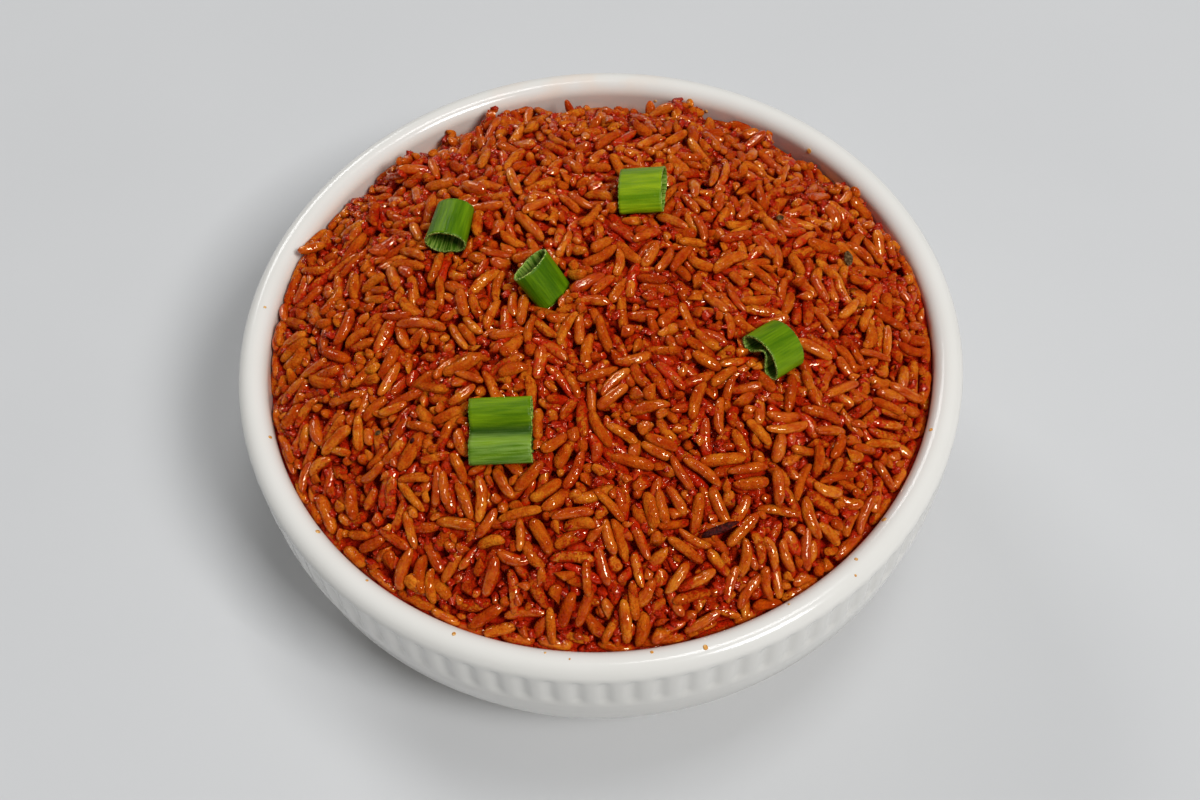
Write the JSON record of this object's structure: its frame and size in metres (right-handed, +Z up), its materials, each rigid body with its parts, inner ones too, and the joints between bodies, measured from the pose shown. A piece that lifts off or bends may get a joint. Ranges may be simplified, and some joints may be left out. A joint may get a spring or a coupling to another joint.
{
  "type": "bowl of jollof rice",
  "caption": "Fluted white porcelain bowl heaped with orange-red jollof rice, with cut pieces of green spring onion on top.",
  "frame": {"origin": "middle of the bowl's foot, on the surface it stands on", "axes": "+Z up through the middle of the bowl, -Y towards the viewer in front, +X to the viewer's right"},
  "size_m": [0.156, 0.156, 0.0779],
  "materials": {
    "porcelain": "glossy white glaze",
    "rice": "cooked rice grains, orange-red and moist with oil",
    "spring_onion": "fresh green leaf with fine veins, satin"
  },
  "bodies": {
    "root": {"bowl": "porcelain", "rice": "rice", "spring_onion_back_left": "spring_onion", "spring_onion_back": "spring_onion", "spring_onion_middle": "spring_onion", "spring_onion_right": "spring_onion", "spring_onion_front_left": "spring_onion"}
  },
  "joints": []
}
